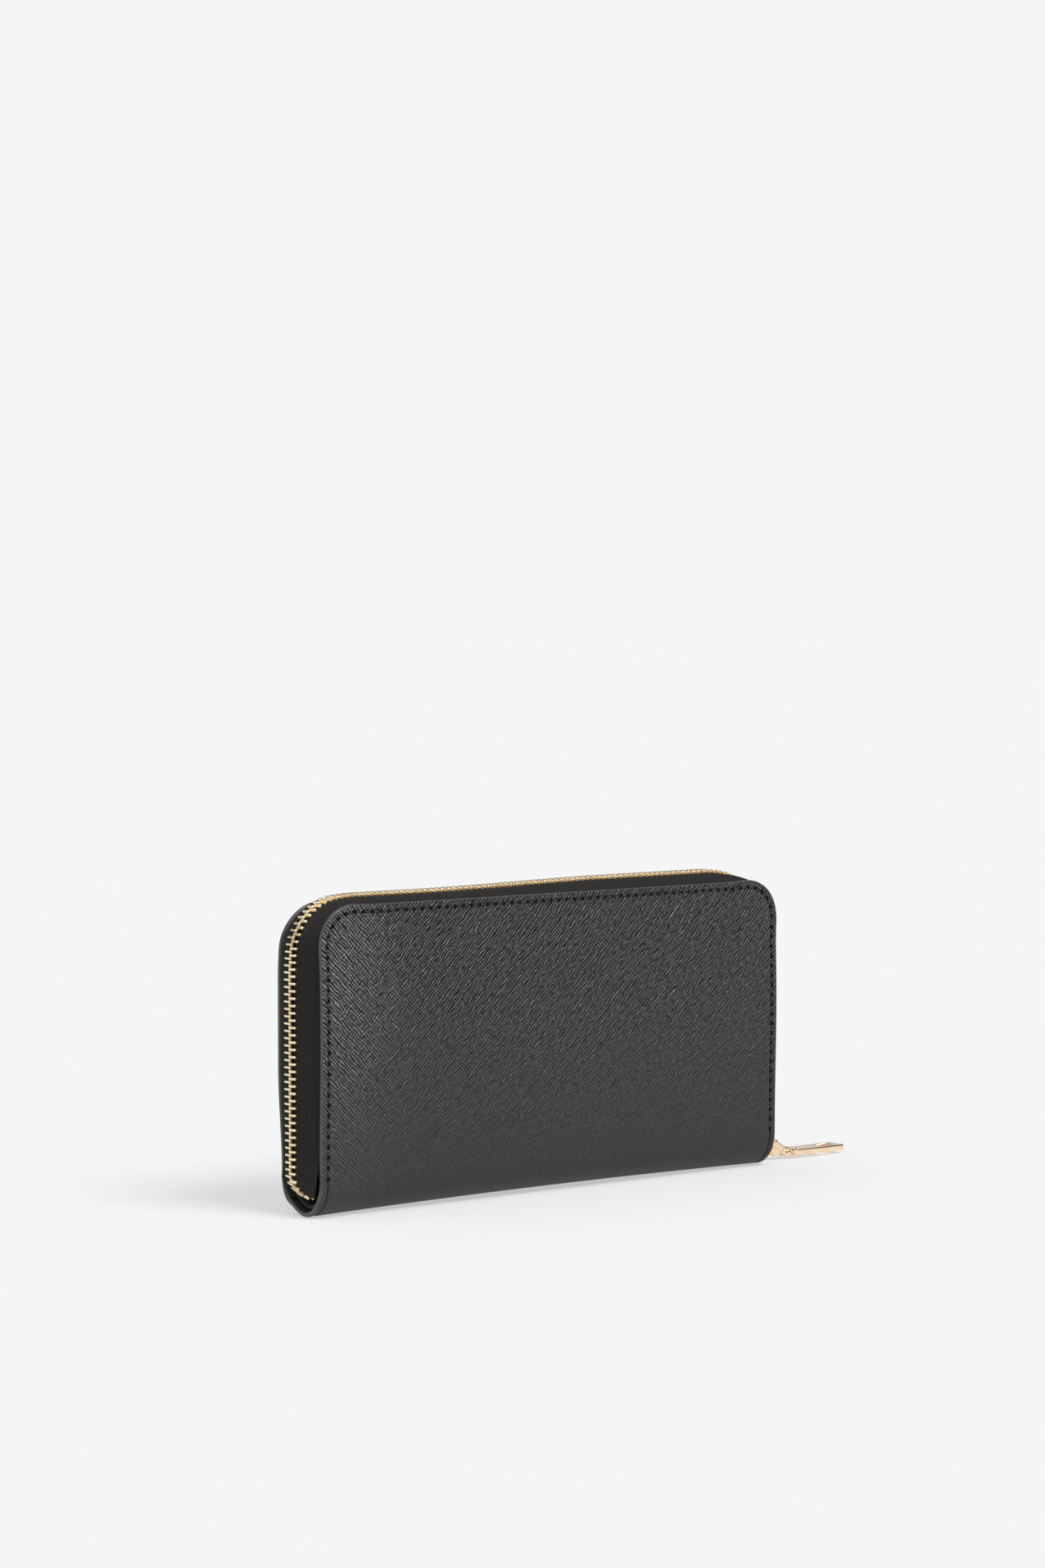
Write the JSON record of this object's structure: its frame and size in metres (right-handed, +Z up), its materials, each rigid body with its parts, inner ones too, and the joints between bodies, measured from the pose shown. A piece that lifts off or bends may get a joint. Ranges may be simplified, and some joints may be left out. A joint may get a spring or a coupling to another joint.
{
  "type": "zip around wallet",
  "caption": "Long zip around wallet: two stiff leather covers on a bent spine, card pockets, coin pocket, metal zip with slider, link and puller.",
  "frame": {"origin": "centre of the flat strip under the spine, on which the wallet stands", "axes": "+X along the wallet towards the slider end, +Y from the front cover to the back cover, +Z up from the spine to the top edge"},
  "size_m": [0.2323, 0.0242, 0.1007],
  "materials": {
    "cover_leather": "black cross-grain embossed leather",
    "interior_leather": "smooth black leather",
    "lining": "black woven lining",
    "board": "stiffening board",
    "zip_tape": "black herringbone tape",
    "thread": "black polyester thread",
    "zip_teeth": "polished light gold",
    "zip_hardware": "polished rose gold"
  },
  "bodies": {
    "spine": {"spine_leather": "cover_leather", "spine_lining": "interior_leather", "spine_base": "cover_leather", "coin_wall_front": "interior_leather", "coin_wall_back": "interior_leather", "coin_gusset": "interior_leather", "coin_tape_front": "zip_tape", "coin_tape_back": "zip_tape", "coin_teeth": "zip_teeth", "coin_stops": "zip_teeth", "gusset_front_left": "interior_leather", "gusset_front_right": "interior_leather", "gusset_back_left": "interior_leather", "gusset_back_right": "interior_leather", "tape_end_left": "zip_tape", "tape_end_right": "zip_tape", "teeth_end_left": "zip_teeth", "teeth_end_right": "zip_teeth", "zip_stops": "zip_teeth"},
    "front_cover": {"front_leather": "cover_leather", "front_board": "board", "front_lining": "lining", "front_card_panel": "interior_leather", "front_card_row_1": "interior_leather", "front_card_row_2": "interior_leather", "front_card_row_3": "interior_leather", "front_tape": "zip_tape", "front_teeth": "zip_teeth", "front_teeth_right": "zip_teeth", "front_stitching": "thread"},
    "back_cover": {"back_leather": "cover_leather", "back_board": "board", "back_lining": "lining", "back_card_panel": "interior_leather", "back_card_row_1": "interior_leather", "back_card_row_2": "interior_leather", "back_card_row_3": "interior_leather", "back_tape": "zip_tape", "back_teeth": "zip_teeth", "back_teeth_right": "zip_teeth", "back_stitching": "thread"},
    "slider": {"slider_body": "zip_hardware", "slider_crown": "zip_hardware"},
    "link": {"pull_link": "zip_hardware", "pull_pin": "zip_hardware"},
    "pull": {"puller": "zip_hardware"},
    "coin_slider": {"coin_slider": "zip_hardware"},
    "coin_pull": {"coin_puller": "zip_hardware"}
  },
  "joints": [
    {"name": "front_cover_hinge", "type": "hinge", "parent": "spine", "child": "front_cover", "pos_m": [0, 0, 0.012], "axis": [1, 0, 0], "range_deg": [0, 35]},
    {"name": "back_cover_hinge", "type": "hinge", "parent": "spine", "child": "back_cover", "pos_m": [0, 0, 0.012], "axis": [-1, 0, 0], "range_deg": [0, 35]},
    {"name": "slider_slide", "type": "slide", "parent": "spine", "child": "slider", "axis": [0, 0, 1], "range_m": [0, 0.06], "deforming": ["front_teeth_right", "back_teeth_right", "teeth_end_right"]},
    {"name": "link_hinge", "type": "hinge", "parent": "slider", "child": "link", "pos_m": [0.103, 0, 0.0063], "axis": [0, -1, 0], "range_deg": [-20, 80]},
    {"name": "puller_hinge", "type": "hinge", "parent": "link", "child": "pull", "pos_m": [0.1096, 0, 0.0021], "axis": [0, -1, 0], "range_deg": [-70, 25]},
    {"name": "coin_slider_slide", "type": "slide", "parent": "spine", "child": "coin_slider", "axis": [-1, 0, 0], "range_m": [0, 0.146], "deforming": ["coin_teeth"]},
    {"name": "coin_puller_hinge", "type": "hinge", "parent": "coin_slider", "child": "coin_pull", "pos_m": [0.072, 0, 0.08935], "axis": [0, 1, 0], "range_deg": [0, 160]}
  ]
}
